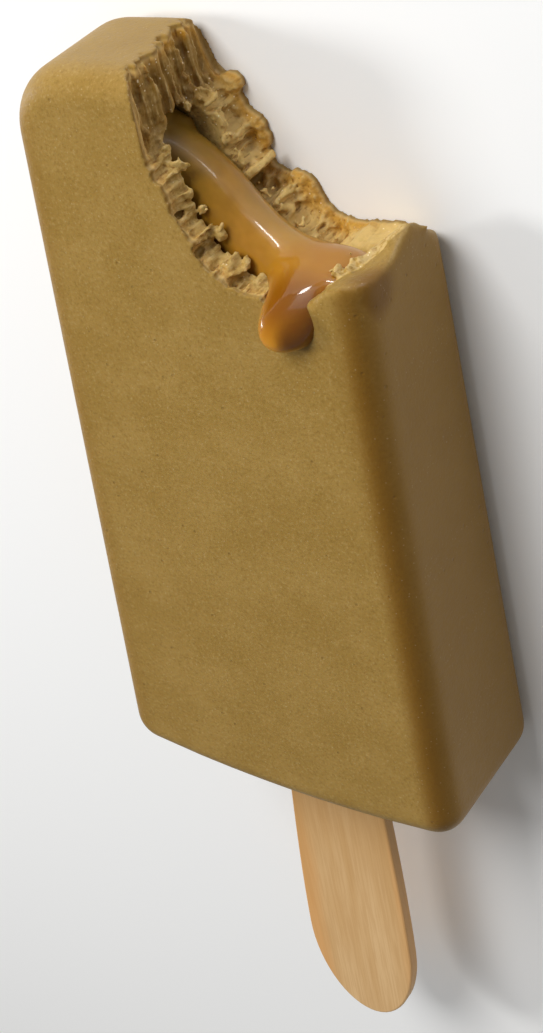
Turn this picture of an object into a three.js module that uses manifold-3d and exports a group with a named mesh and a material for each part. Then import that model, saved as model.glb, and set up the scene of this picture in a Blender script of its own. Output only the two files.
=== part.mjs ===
// A filled ice cream bar on a flat wooden stick, lying on its back, with one bite out of a tip corner.
// The bite opens the hollow core, and the caramel in the core runs out over the front wall as a drip.
// Millimetres, +Z up. +Y runs from the stick to the tip of the bar, and the shown front faces up.
// The origin is on the table, under the middle of the whole length. The parts are worked out in the
// bar's own plan, where y = 0 is the butt that the stick comes out of, and one group moves them there.
import * as THREE from "three";
import { mergeVertices } from "three/addons/utils/BufferGeometryUtils.js";
import Module from "manifold-3d";

const wasm = await Module();
wasm.setup();

// Driving dimensions of the moulded bar, which narrows and thins towards its tip.
const BAR_LENGTH = 104;
const BUTT_WIDTH = 54;
const TIP_WIDTH = 45.4;
const BUTT_THICKNESS = 23.4;
const TIP_THICKNESS = 18;
const EDGE_RADIUS = 3.6;
const SHOULDER_RADIUS = 7.5;
const BUTT_CORNER_RADIUS = 4;
const TIP_CROWN = 1.4;
const BUTT_CROWN = 2.1;

// The stick: a wide handle, a narrower waist where it enters the bar, and a buried tongue.
const STICK_REACH = 60.5;
const STICK_BURIED = 36;
const STICK_THICKNESS = 2;
const HANDLE_WIDTH = 18.4;
const HANDLE_WIDEST_AT = 38;
const HANDLE_END_LENGTH = 17;
const TONGUE_WIDTH = 12;
const STICK_EDGE_RADIUS = 0.3;
const STICK_LEAN = THREE.MathUtils.degToRad(1.4);

// The core that holds the caramel.
const CORE_WIDTH = 32.4;
const CORE_THICKNESS = 8.8;
const CORE_RISE = 0.9;
const CORE_START = 44;
const CORE_END = 96.6;
const CORE_CORNER_RADIUS = 9;

// The bite: how its two rims run across the bar, on the front face and on the back face.
const FRONT_RIM = [
  [-3.8, 112], [-3.4, 103], [-3.3, 96.5], [-2.4, 92.4], [-0.7, 88.6], [1.7, 83.8],
  [4.8, 79.9], [9, 78.2], [13.5, 78.7], [17.8, 80.2], [22, 81], [27, 81.2], [32, 81.2],
];
const BACK_RIM = [
  [-9, 112], [-6.4, 103], [-5.2, 98.4], [-3, 94.6], [-0.3, 90.2], [1.4, 86.4],
  [4.4, 82.6], [8.4, 79.8], [13, 79], [18, 78.8], [22.6, 79.4], [27, 80], [32, 80],
];
const RIM_OVERRUN = 3;
const TOOTH_PITCH = 7.1;
const TOOTH_RIDGE_AT = 11.1;
const TOOTH_DEPTH_BACK = 1.9;
const TOOTH_DEPTH_FRONT = 0.5;
const FLUTE_PITCH = 2.7;
const FLUTE_DEPTH = 0.55;
const DRAG_PITCH = 3.1;
const DRAG_DEPTH = 0.6;
const DRAG_FADE_FROM = 17;
const DRAG_FADE_TO = 21;
const CRAG_HEIGHT = 0.3;
const CRAG_SIZE = 1.9;
const SMOOTH_FROM = 39;
const SMOOTH_TO = 47;
const RELIEF_SINK = 0.35;
const WALL_CROWN = 1.1;
const BITE_STEPS = 126;
const BITE_ROWS = 16;

// The caramel: how far its skin stands above (or lies below) the bite along the rims, from the tip.
const SKIN_LEVELS = [-1.6, 1.2, 3.2, 4.2, 4.2, 3.6, 2.4, 1, 0];
const SKIN_FROM = 16;
const SKIN_TO = 50;
const SKIN_ROUNDING = 5;
const SKIN_STEPS = 44;
const SKIN_ROWS = 16;

// The drip's centre line, from inside the core over the front wall, and its half sizes there.
const DRIP_STATIONS = [
  { at: [11.2, 77.2, 8.6], halfWidth: 4.4, halfDepth: 2.6 },
  { at: [12.2, 78.6, 12.2], halfWidth: 4.9, halfDepth: 2.6 },
  { at: [13.2, 79.7, 15.8], halfWidth: 4.2, halfDepth: 2.3 },
  { at: [13.8, 80.3, 18.8], halfWidth: 3.4, halfDepth: 2.1 },
  { at: [14, 79.4, 20.9], halfWidth: 3, halfDepth: 1.9 },
  { at: [13.9, 77.8, 21.3], halfWidth: 3, halfDepth: 1.8 },
  { at: [13.7, 76.3, 21.3], halfWidth: 2.7, halfDepth: 1.7 },
];
const DRIP_RINGS = 26;
const DRIP_SIDES = 18;

const GAP = 0.3;
const MIDDLE_OF_LENGTH = (BAR_LENGTH - STICK_REACH) / 2;

// How thick the bar is at a place along its length.
function thicknessAt(y) {
  return THREE.MathUtils.lerp(BUTT_THICKNESS, TIP_THICKNESS, y / BAR_LENGTH);
}

// A closed geometry with its shared vertices merged, as a solid that can be joined and cut.
function toSolid(geometry) {
  const bare = new THREE.BufferGeometry();
  bare.setAttribute("position", geometry.getAttribute("position"));
  if (geometry.index) bare.setIndex(geometry.index);
  const merged = mergeVertices(bare, 1e-4);
  return new wasm.Manifold(new wasm.Mesh({
    numProp: 3,
    vertProperties: new Float32Array(merged.attributes.position.array),
    triVerts: new Uint32Array(merged.index.array),
  }));
}

// A solid as a named mesh with its material.
function toMesh(solid, name, material) {
  const cut = solid.getMesh();
  const geometry = new THREE.BufferGeometry();
  geometry.setAttribute("position", new THREE.BufferAttribute(cut.vertProperties, 3));
  geometry.setIndex(new THREE.BufferAttribute(cut.triVerts, 1));
  geometry.computeVertexNormals();
  const mesh = new THREE.Mesh(geometry, material);
  mesh.name = name;
  return mesh;
}

// A closed skin over a grid of points whose rows run round: rings from one end to the other.
function ringsGeometry(rings) {
  const sides = rings[0].length;
  const points = rings.flat();
  const faces = [];
  for (let i = 0; i + 1 < rings.length; i += 1) {
    for (let j = 0; j < sides; j += 1) {
      const a = i * sides + j;
      const b = i * sides + ((j + 1) % sides);
      faces.push(a, b, b + sides, a, b + sides, a + sides);
    }
  }
  const last = (rings.length - 1) * sides;
  for (let j = 1; j + 1 < sides; j += 1) {
    faces.push(0, j + 1, j);
    faces.push(last, last + j, last + j + 1);
  }
  return new THREE.BufferGeometry().setFromPoints(points).setIndex(faces);
}

// A plan outline through corners, each rounded by its own radius.
function roundedOutline(corners) {
  const shape = new THREE.Shape();
  const roundness = 0.5523;
  corners.forEach(({ at, radius }, i) => {
    const corner = new THREE.Vector2(...at);
    const before = new THREE.Vector2(...corners.at(i - 1).at).sub(corner);
    const after = new THREE.Vector2(...corners[(i + 1) % corners.length].at).sub(corner);
    const half = Math.acos(before.clone().normalize().dot(after.clone().normalize())) / 2;
    const reach = radius / Math.tan(half);
    const start = corner.clone().addScaledVector(before.normalize(), reach);
    const end = corner.clone().addScaledVector(after.normalize(), reach);
    const control1 = start.clone().lerp(corner, roundness);
    const control2 = end.clone().lerp(corner, roundness);
    if (i === 0) shape.moveTo(start.x, start.y);
    else shape.lineTo(start.x, start.y);
    shape.bezierCurveTo(control1.x, control1.y, control2.x, control2.y, end.x, end.y);
  });
  shape.closePath();
  return shape;
}

// The moulded bar before the bite: rounded along every edge, crowned at both ends.
function barSolid() {
  const butt = BUTT_WIDTH / 2;
  const tip = TIP_WIDTH / 2;
  const shape = roundedOutline([
    { at: [-butt, 0], radius: BUTT_CORNER_RADIUS },
    { at: [0, -BUTT_CROWN], radius: 160 },
    { at: [butt, 0], radius: BUTT_CORNER_RADIUS },
    { at: [tip, BAR_LENGTH - TIP_CROWN], radius: SHOULDER_RADIUS },
    { at: [0, BAR_LENGTH], radius: 130 },
    { at: [-tip, BAR_LENGTH - TIP_CROWN], radius: SHOULDER_RADIUS },
  ]);
  const geometry = new THREE.ExtrudeGeometry(shape, {
    depth: BUTT_THICKNESS - 2 * EDGE_RADIUS,
    bevelThickness: EDGE_RADIUS,
    bevelSize: EDGE_RADIUS,
    bevelOffset: -EDGE_RADIUS,
    bevelSegments: 5,
    curveSegments: 9,
  });
  geometry.translate(0, 0, EDGE_RADIUS);
  const position = geometry.attributes.position;
  for (let i = 0; i < position.count; i += 1) {
    if (position.getZ(i) > BUTT_THICKNESS / 2) {
      position.setZ(i, position.getZ(i) + thicknessAt(position.getY(i)) - BUTT_THICKNESS);
    }
  }
  return toSolid(geometry);
}

// Repeatable noise between -1 and 1, smooth over a lattice of whole numbers.
function smoothNoise(x, y) {
  const corner = (i, j) => {
    const mixed = Math.sin(i * 127.1 + j * 311.7) * 43758.5453;
    return 2 * (mixed - Math.floor(mixed)) - 1;
  };
  const i = Math.floor(x);
  const j = Math.floor(y);
  const u = THREE.MathUtils.smoothstep(x - i, 0, 1);
  const v = THREE.MathUtils.smoothstep(y - j, 0, 1);
  const low = THREE.MathUtils.lerp(corner(i, j), corner(i + 1, j), u);
  const high = THREE.MathUtils.lerp(corner(i, j + 1), corner(i + 1, j + 1), u);
  return THREE.MathUtils.lerp(low, high, v);
}

// A row of scallops: hollows that meet in sharp ridges, from 0 in a hollow to 1 on a ridge.
function scallops(x) {
  const share = x - Math.floor(x);
  return (2 * share - 1) ** 2;
}

// How far the bitten face stands out: tooth marks and flutes through the bar, near the tip the
// drag marks that run down towards the core, crags all over, and a smooth crown at the side wall.
function biteRelief(along, across) {
  const drag = 1 - THREE.MathUtils.smoothstep(along, DRAG_FADE_FROM, DRAG_FADE_TO);
  const smooth = THREE.MathUtils.smoothstep(along, SMOOTH_FROM, SMOOTH_TO);
  const depth = across * BUTT_THICKNESS;
  const wander = 0.35 * smoothNoise(along / 4 + 7, depth / 6);
  const toothDepth = THREE.MathUtils.lerp(TOOTH_DEPTH_BACK, TOOTH_DEPTH_FRONT, across);
  const tooth = toothDepth * Math.cos((2 * Math.PI * (along - TOOTH_RIDGE_AT)) / TOOTH_PITCH) / 2;
  const flute = FLUTE_DEPTH * scallops(along / FLUTE_PITCH + wander);
  const dragMark = DRAG_DEPTH * scallops(depth / DRAG_PITCH + 0.25 + wander);
  const crag = CRAG_HEIGHT * smoothNoise(along / CRAG_SIZE, depth / CRAG_SIZE);
  const rough = tooth + (1 - drag) * flute + drag * dragMark + crag - RELIEF_SINK;
  return (1 - smooth) * rough + smooth * WALL_CROWN * 4 * across * (1 - across);
}

// A tool that takes away all that lies beyond a surface laid between the two rims. The surface is
// given by how far it stands off them, at a length along the rims and a share of the way across.
function rimTool(from, to, steps, low, high, rows, standOff) {
  const curves = [BACK_RIM, FRONT_RIM].map((rim) => new THREE.CatmullRomCurve3(
    rim.map(([x, y]) => new THREE.Vector3(x, y, 0)),
  ));
  const length = curves[0].getLength();
  const grid = [];
  for (let i = 0; i <= steps; i += 1) {
    const along = THREE.MathUtils.lerp(from, to, i / steps);
    const [back, front] = curves.map((curve) => curve.getPointAt(along / length));
    const [backWay, frontWay] = curves.map((curve) => curve.getTangentAt(along / length));
    const row = [];
    for (let j = 0; j <= rows; j += 1) {
      const z = THREE.MathUtils.lerp(low, high, j / rows);
      const across = THREE.MathUtils.clamp(z / thicknessAt(back.y), 0, 1);
      const way = backWay.clone().lerp(frontWay, across).normalize();
      const point = back.clone().lerp(front, across);
      point.addScaledVector(new THREE.Vector3(-way.y, way.x, 0), standOff(along, across, z));
      row.push(point.setZ(z));
    }
    grid.push(row);
  }
  const away = new THREE.Vector3(1, 1, 0).setLength(BAR_LENGTH);
  const near = [
    ...grid.slice(0, -1).map((row) => row[0]),
    ...grid.at(-1).slice(0, -1),
    ...grid.slice(1).reverse().map((row) => row.at(-1)),
    ...grid[0].slice(1).reverse(),
  ];
  const far = near.map((point) => point.clone().add(away));
  return { grid, near, far };
}

// The faces of that tool: the surface itself, the walls from its border outwards, and a lid.
function toolSolid({ grid, near, far }) {
  const points = [];
  const triangle = (a, b, c) => points.push(a, b, c);
  for (let i = 0; i + 1 < grid.length; i += 1) {
    for (let j = 0; j + 1 < grid[i].length; j += 1) {
      triangle(grid[i][j], grid[i + 1][j], grid[i + 1][j + 1]);
      triangle(grid[i][j], grid[i + 1][j + 1], grid[i][j + 1]);
    }
  }
  const middle = far.reduce((sum, point) => sum.add(point), new THREE.Vector3());
  middle.divideScalar(far.length);
  near.forEach((point, i) => {
    const next = (i + 1) % near.length;
    triangle(point, far[i], far[next]);
    triangle(point, far[next], near[next]);
    triangle(far[i], middle, far[next]);
  });
  const solid = toSolid(new THREE.BufferGeometry().setFromPoints(points));
  if (solid.volume() > 0) return solid;
  throw new Error("the bite tool is inside out");
}

function biteTool() {
  const end = 58;
  return toolSolid(rimTool(
    1, end, BITE_STEPS, -RIM_OVERRUN, BUTT_THICKNESS + RIM_OVERRUN, BITE_ROWS, biteRelief,
  ));
}

// Takes the caramel down to its own smooth skin, which is rounded across the core.
function skinTool() {
  const low = TIP_THICKNESS / 2 - CORE_THICKNESS / 2 - 1;
  const high = BUTT_THICKNESS / 2 + CORE_THICKNESS / 2 + 1;
  const levels = new THREE.CatmullRomCurve3(
    SKIN_LEVELS.map((level, i) => new THREE.Vector3(i / (SKIN_LEVELS.length - 1), level, 0)),
  );
  const standOff = (along, across, z) => {
    const share = THREE.MathUtils.clamp((along - SKIN_FROM) / (SKIN_TO - SKIN_FROM), 0, 1);
    const middle = thicknessAt(86) / 2 + CORE_RISE;
    const side = THREE.MathUtils.clamp((z - middle) / (CORE_THICKNESS / 2), -1, 1);
    return levels.getPoint(share).y - SKIN_ROUNDING * (1 - Math.sqrt(1 - 0.96 * side ** 2));
  };
  return toolSolid(rimTool(6, 58, SKIN_STEPS, low, high, SKIN_ROWS, standOff));
}

// A slab rounded along its edges that lies in the bar's middle plane, larger all round by grow.
function coreSolid(grow) {
  const half = CORE_WIDTH / 2 + grow;
  const radius = CORE_THICKNESS / 2 + grow;
  const shape = roundedOutline([
    { at: [-half, CORE_START - grow], radius: CORE_CORNER_RADIUS },
    { at: [half, CORE_START - grow], radius: CORE_CORNER_RADIUS },
    { at: [half, CORE_END + grow], radius: CORE_CORNER_RADIUS },
    { at: [-half, CORE_END + grow], radius: CORE_CORNER_RADIUS },
  ]);
  const geometry = new THREE.ExtrudeGeometry(shape, {
    depth: 0.02,
    bevelThickness: radius,
    bevelSize: radius,
    bevelOffset: -radius,
    bevelSegments: 6,
    curveSegments: 7,
  });
  geometry.translate(0, 0, CORE_RISE - 0.01);
  layInMiddlePlane(geometry);
  return toSolid(geometry);
}

// Tips a geometry made about z = 0 into the plane half way between the bar's two faces.
function layInMiddlePlane(geometry) {
  const slope = (TIP_THICKNESS - BUTT_THICKNESS) / 2 / BAR_LENGTH;
  geometry.rotateX(Math.atan(slope));
  geometry.translate(0, 0, BUTT_THICKNESS / 2);
}

// The drip as an oval tube with a round end, larger all round by grow.
function dripSolid(grow) {
  const path = new THREE.CatmullRomCurve3(DRIP_STATIONS.map(({ at }) => new THREE.Vector3(...at)));
  const sizes = new THREE.CatmullRomCurve3(
    DRIP_STATIONS.map(({ halfWidth, halfDepth }) => new THREE.Vector3(halfWidth, halfDepth, 0)),
  );
  const widthWay = new THREE.Vector3(1, 0, 0);
  const rings = [];
  for (let i = 0; i <= DRIP_RINGS; i += 1) {
    const share = i / DRIP_RINGS;
    const centre = path.getPoint(share);
    const tangent = path.getTangent(share);
    const depthWay = new THREE.Vector3().crossVectors(tangent, widthWay).normalize();
    const size = sizes.getPoint(share);
    rings.push(ovalRing(centre, widthWay, depthWay, size.x + grow, size.y + grow));
  }
  const end = path.getPoint(1);
  const size = sizes.getPoint(1);
  const tangent = path.getTangent(1);
  const depthWay = new THREE.Vector3().crossVectors(tangent, widthWay).normalize();
  for (const turn of [0.3, 0.6, 0.85, 1].map((share) => (share * Math.PI) / 2)) {
    const shrink = Math.max(Math.cos(turn), 0.04);
    const centre = end.clone().addScaledVector(tangent, Math.sin(turn) * (size.y + grow));
    rings.push(ovalRing(
      centre, widthWay, depthWay, (size.x + grow) * shrink, (size.y + grow) * shrink,
    ));
  }
  return toSolid(ringsGeometry(rings));
}

// One ring of points round a centre, with a half size along each of two ways.
function ovalRing(centre, wayA, wayB, halfA, halfB) {
  return Array.from({ length: DRIP_SIDES }, (_, j) => {
    const turn = (2 * Math.PI * j) / DRIP_SIDES;
    return centre.clone()
      .addScaledVector(wayA, halfA * Math.cos(turn))
      .addScaledVector(wayB, halfB * Math.sin(turn));
  });
}

// The stick, larger all round by grow: a rounded outline about its own centre line.
function stickSolid(grow) {
  const handle = HANDLE_WIDTH / 2 + grow;
  const tongue = TONGUE_WIDTH / 2 + grow;
  const endStart = -(STICK_REACH - HANDLE_END_LENGTH);
  const far = -STICK_REACH - grow;
  const shape = new THREE.Shape();
  shape.moveTo(-handle, endStart);
  shape.absellipse(0, endStart, handle, endStart - far, Math.PI, 2 * Math.PI, false);
  shape.bezierCurveTo(handle, -HANDLE_WIDEST_AT + 14, tongue + 1.6, -8, tongue, STICK_BURIED - tongue);
  shape.absarc(0, STICK_BURIED - tongue + grow, tongue, 0, Math.PI, false);
  shape.bezierCurveTo(-tongue - 1.6, -8, -handle, -HANDLE_WIDEST_AT + 14, -handle, endStart);
  const geometry = new THREE.ExtrudeGeometry(shape, {
    depth: STICK_THICKNESS + 2 * grow - 2 * STICK_EDGE_RADIUS,
    bevelThickness: STICK_EDGE_RADIUS,
    bevelSize: STICK_EDGE_RADIUS,
    bevelOffset: -STICK_EDGE_RADIUS,
    bevelSegments: 2,
    curveSegments: 14,
  });
  geometry.translate(0, 0, -(STICK_THICKNESS / 2 + grow - STICK_EDGE_RADIUS));
  geometry.rotateZ(-STICK_LEAN);
  layInMiddlePlane(geometry);
  return toSolid(geometry);
}

function iceCreamMesh() {
  const solid = barSolid()
    .subtract(biteTool())
    .subtract(coreSolid(0))
    .subtract(dripSolid(GAP))
    .subtract(stickSolid(GAP));
  const body = solid.decompose().sort((a, b) => b.volume() - a.volume())[0];
  return toMesh(body, "ice_cream", new THREE.MeshStandardMaterial({
    color: 0x94764a, roughness: 0.6, metalness: 0,
  }));
}

function caramelMesh() {
  const filling = coreSolid(-GAP).subtract(skinTool());
  return toMesh(filling.add(dripSolid(0)), "caramel_filling", new THREE.MeshStandardMaterial({
    color: 0xb0762e, roughness: 0.2, metalness: 0,
  }));
}

function stickMesh() {
  return toMesh(stickSolid(0), "stick", new THREE.MeshStandardMaterial({
    color: 0xc9a072, roughness: 0.75, metalness: 0,
  }));
}

const bar = new THREE.Group();
bar.add(iceCreamMesh(), caramelMesh(), stickMesh());
bar.position.y = -MIDDLE_OF_LENGTH;

const group = new THREE.Group();
group.add(bar);

export default group;
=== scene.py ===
import functools
import math
import random

import bpy
from mathutils import Matrix, Vector


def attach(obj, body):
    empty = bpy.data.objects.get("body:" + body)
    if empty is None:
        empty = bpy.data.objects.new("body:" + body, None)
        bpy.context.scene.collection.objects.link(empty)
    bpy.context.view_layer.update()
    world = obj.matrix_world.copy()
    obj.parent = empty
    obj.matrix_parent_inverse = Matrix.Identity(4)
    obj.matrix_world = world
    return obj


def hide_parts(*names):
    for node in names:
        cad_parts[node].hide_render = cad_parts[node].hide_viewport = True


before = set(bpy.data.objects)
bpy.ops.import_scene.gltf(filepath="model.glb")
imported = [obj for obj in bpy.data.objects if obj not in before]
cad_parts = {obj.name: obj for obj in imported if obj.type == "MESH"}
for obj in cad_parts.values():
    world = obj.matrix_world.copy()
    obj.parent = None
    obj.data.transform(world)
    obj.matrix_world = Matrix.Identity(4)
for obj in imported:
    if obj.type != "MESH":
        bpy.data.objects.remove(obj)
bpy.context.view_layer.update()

MM = 0.001
MIDDLE_OF_LENGTH = 21.75

BAR_LENGTH = 104
BUTT_WIDTH = 54
TIP_WIDTH = 45.4
BUTT_THICKNESS = 23.4
TIP_THICKNESS = 18
EDGE_RADIUS = 3.6
SHOULDER_RADIUS = 7.5
BUTT_CORNER_RADIUS = 4
TIP_CROWN = 1.4
BUTT_CROWN = 2.1
# Where the bar's ends are cut across their width, so that they can be crowned.
CROWN_CUTS = range(-15, 16, 5)
SHARP = math.radians(60)

# The bite's rim, in pairs of a place on the back face and one on the front face, from the tip
# down and then across to the bar's side.
RIM_PAIRS = [
    ((-9, 112), (-3.8, 112)),
    ((-6.4, 102.6), (-3.6, 103)),
    ((-5.6, 99), (-3.5, 99.4)),
    ((-4.8, 96.9), (-3.5, 96.8)),
    ((-2.4, 96.1), (-3.4, 94.6)),
    ((-2, 93.8), (-2.8, 92.6)),
    ((-0.4, 91.2), (-1.6, 91.2)),
    ((0.8, 88.6), (-1, 89)),
    ((0.6, 86.9), (0, 87.2)),
    ((2, 84.6), (1, 85.1)),
    ((4.8, 84.3), (2, 82.9)),
    ((6.4, 82.7), (3.9, 80.6)),
    ((7.7, 80.3), (6, 79.5)),
    ((10, 79.2), (8.6, 79.1)),
    ((13.7, 79.2), (12, 78.4)),
    ((17.2, 79.6), (16, 79.5)),
    ((20, 79.3), (18.4, 81.4)),
    ((23.5, 80), (21.6, 82.4)),
    ((28, 80.2), (27, 82.6)),
    ((33, 80.2), (33, 82.6)),
]

# Where ridges of the tip wall stand, in millimetres above the back face.
TIP_WALL_RIDGES = [-0.6, 1.7, 3.8, 6.2, 8.7, 10.7, 13.1, 18.6]

# Ridges between the tooth marks, by the rim pair they start from, on the back and the front wall.
BACK_RIDGES = [3.2, 5.15, 8.05, 10.2, 12.3, 14.2, 16.5]
FRONT_RIDGES = [4.95, 6.9, 9.3, 11.2, 12.9, 15, 17]

# Single hollows and bulges of the bite: rim pair, height, reach in pairs, reach in mm, depth.
BITE_DENTS = [
    (5.15, 3, 0.5, 1.9, -1.5), (6.9, 2.6, 0.8, 1.3, -0.8), (7.8, 3.8, 0.35, 2.2, -1.5),
    (8.75, 3.6, 0.5, 2.1, -1.3), (11, 2.9, 0.9, 1.3, -0.9), (13, 2.8, 0.6, 1.5, -0.6),
    (4.2, 0.8, 0.7, 1.7, 0.6), (6.9, 0.7, 0.9, 1.6, 0.5), (10.3, 0.7, 1.1, 1.5, 0.6),
    (12.4, 0.6, 0.9, 1.4, 0.4), (5.55, 17, 0.4, 1.4, -1.1), (7.8, 17.3, 0.45, 1.3, -0.8),
    (9.75, 17.6, 0.4, 1.3, -1), (4.95, 16.4, 0.3, 2.4, 0.9), (8.08, 3.4, 0.2, 3, 1),
    (9.25, 16.4, 0.3, 2.2, 0.8), (6.9, 16, 0.35, 2, 0.6), (17.2, 7.5, 1.2, 4.6, 2.9),
    (12, 17.4, 0.8, 1.2, -0.4),
]

CORE_WIDTH = 32.4
CORE_THICKNESS = 8.8
CORE_RISE = 0.9
CORE_START = 44
CORE_END = 96.6
CORE_CORNER_RADIUS = 9
# The bar is hollowed for the core from here on, because the rest of the hollow is never seen.
HOLLOW_START = 60
# The room between the core and its hollow.
GAP = 0.3
# Places along the bar: the middle of the bite, and the core's opening in it.
BITE_MIDDLE = 90
CORE_MOUTH = 88
# Farther than the bar reaches to any side.
CLEAR_OF_BAR = 60
# The cells of the remeshes that round the two pieces.
BAR_CELL = 0.22
CARAMEL_CELL = 0.33


def at(x, y, z):
    return Vector((x, y - MIDDLE_OF_LENGTH, z)) * MM


def bar_place(co):
    return co.x / MM, co.y / MM + MIDDLE_OF_LENGTH, co.z / MM


def thickness_at(y):
    return BUTT_THICKNESS + (TIP_THICKNESS - BUTT_THICKNESS) * y / BAR_LENGTH


def half_width_at(y):
    return (BUTT_WIDTH + (TIP_WIDTH - BUTT_WIDTH) * y / BAR_LENGTH) / 2


def smooth(low, high, value):
    share = min(max((value - low) / (high - low), 0), 1)
    return share * share * (3 - 2 * share)


# Modelling steps that the pieces share.


def deselect():
    if bpy.context.object and bpy.context.object.mode != "OBJECT":
        bpy.ops.object.mode_set(mode="OBJECT")
    bpy.ops.object.select_all(action="DESELECT")


def take(piece):
    deselect()
    piece.select_set(True)
    bpy.context.view_layer.objects.active = piece


def name_new(name):
    piece = bpy.context.object
    piece.name = name
    piece.data.name = name
    bpy.ops.object.transform_apply(location=True, rotation=True, scale=True)
    return piece


def edit(piece):
    take(piece)
    bpy.ops.object.mode_set(mode="EDIT")
    bpy.ops.mesh.select_mode(type="VERT")
    bpy.ops.mesh.select_all(action="DESELECT")


def leave_edit():
    bpy.ops.object.mode_set(mode="OBJECT")


def clear_choice(piece):
    """Leaves edit mode with nothing in the piece selected."""
    bpy.ops.object.mode_set(mode="OBJECT")
    for part in (piece.data.polygons, piece.data.edges, piece.data.vertices):
        part.foreach_set("select", [False] * len(part))


def select_vertices(piece, test):
    """Selects, in edit mode, the vertices whose place in the bar's plan passes the test."""
    clear_choice(piece)
    for vertex in piece.data.vertices:
        vertex.select = test(*bar_place(vertex.co))
    bpy.ops.object.mode_set(mode="EDIT")


def select_edges(piece, test):
    """Selects, in edit mode, the edges whose two ends pass the test."""
    clear_choice(piece)
    places = [bar_place(vertex.co) for vertex in piece.data.vertices]
    for edge in piece.data.edges:
        edge.select = test(places[edge.vertices[0]], places[edge.vertices[1]])
    bpy.ops.object.mode_set(mode="EDIT")


def use_modifier(piece, kind, **settings):
    """Adds a modifier with its settings and applies it."""
    take(piece)
    modifier = piece.modifiers.new(kind.lower(), kind)
    for key, value in settings.items():
        setattr(modifier, key, value)
    bpy.ops.object.modifier_apply(modifier=modifier.name)


def cut_away(piece, cutter):
    use_modifier(piece, "BOOLEAN", operation="DIFFERENCE", solver="MANIFOLD", object=cutter)
    remove(cutter)


def remove(piece):
    data = piece.data
    bpy.data.objects.remove(piece)
    if isinstance(data, bpy.types.Mesh):
        bpy.data.meshes.remove(data)


def duplicate(piece, name):
    take(piece)
    bpy.ops.object.duplicate(linked=False)
    copy = bpy.context.object
    copy.name = name
    copy.data.name = name
    return copy


def join(pieces, name):
    take(pieces[0])
    for piece in pieces[1:]:
        piece.select_set(True)
    bpy.ops.object.join()
    pieces[0].name = name
    pieces[0].data.name = name
    return pieces[0]


def smooth_shading(piece):
    take(piece)
    bpy.ops.object.shade_smooth()


def weigh(piece, group, weight):
    """Gives every vertex its weight in a vertex group, from its place in the bar's plan."""
    vertex_group = piece.vertex_groups.new(name=group)
    for vertex in piece.data.vertices:
        value = weight(*bar_place(vertex.co))
        if value > 0:
            vertex_group.add([vertex.index], value, "REPLACE")


def relief(piece, texture, stretch, strength, group="", middle=0.5):
    """Displaces a piece along its normals by a texture whose grain is stretched by so many mm."""
    deselect()
    bpy.ops.object.empty_add(location=(0, 0, 0))
    grain = bpy.context.object
    grain.scale = Vector(stretch) * MM
    bpy.context.view_layer.update()
    use_modifier(
        piece, "DISPLACE", texture=texture, texture_coords="OBJECT", texture_coords_object=grain,
        strength=strength * MM, mid_level=middle, vertex_group=group, direction="NORMAL",
    )
    bpy.data.objects.remove(grain)


def hollow_cells(name):
    """A texture of round hollows that meet in sharp ridges."""
    texture = bpy.data.textures.new(name, "VORONOI")
    texture.distance_metric = "DISTANCE_SQUARED"
    texture.noise_scale = 1
    texture.noise_intensity = 1
    return texture


def cloudy(name, depth=2):
    """A texture of soft swellings and dips."""
    texture = bpy.data.textures.new(name, "CLOUDS")
    texture.noise_scale = 1
    texture.noise_depth = depth
    texture.noise_basis = "IMPROVED_PERLIN"
    return texture


# The moulded bar and the bite.


def bar_blank():
    """The bar before the bite: a block that tapers, crowned at both ends and rounded all round."""
    deselect()
    bpy.ops.mesh.primitive_cube_add(size=1, location=at(0, BAR_LENGTH / 2, BUTT_THICKNESS / 2))
    bpy.context.object.scale = Vector((BUTT_WIDTH, BAR_LENGTH, BUTT_THICKNESS)) * MM
    blank = name_new("bar")
    edit(blank)
    select_vertices(blank, lambda x, y, z: y > BAR_LENGTH / 2)
    bpy.ops.transform.resize(
        value=(TIP_WIDTH / BUTT_WIDTH, 1, 1), center_override=at(0, BAR_LENGTH, 0)
    )
    select_vertices(blank, lambda x, y, z: y > BAR_LENGTH / 2 and z > BUTT_THICKNESS / 2)
    bpy.ops.transform.translate(value=(0, 0, (TIP_THICKNESS - BUTT_THICKNESS) * MM))
    for x in CROWN_CUTS:
        bpy.ops.mesh.select_all(action="SELECT")
        bpy.ops.mesh.bisect(plane_co=at(x, 0, 0), plane_no=(1, 0, 0))
    crown_end(blank, BAR_LENGTH, TIP_WIDTH / 2, TIP_CROWN, -TIP_CROWN)
    crown_end(blank, 0, BUTT_WIDTH / 2, -BUTT_CROWN, 0)
    round_corners(blank, lambda y: y > BAR_LENGTH / 2, SHOULDER_RADIUS)
    round_corners(blank, lambda y: y < BAR_LENGTH / 2, BUTT_CORNER_RADIUS)
    bpy.ops.mesh.select_all(action="DESELECT")
    bpy.ops.mesh.select_mode(type="EDGE")
    bpy.ops.mesh.edges_select_sharp(sharpness=SHARP)
    bpy.ops.mesh.bevel(offset=EDGE_RADIUS * MM, segments=8, profile=0.5)
    bpy.ops.mesh.select_all(action="SELECT")
    bpy.ops.mesh.normals_make_consistent(inside=False)
    leave_edit()
    return blank


def crown_end(blank, end, half, crown, base):
    """Moves an end's cuts along the bar, so that the end bulges in the middle."""
    for x in [-half, *CROWN_CUTS, half]:
        select_vertices(blank, lambda vx, vy, vz: abs(vx - x) < 0.6 and abs(vy - end) < 3)
        rise = crown * (1 - (x / half) ** 2) + base
        bpy.ops.transform.translate(value=(0, rise * MM, 0))


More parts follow.
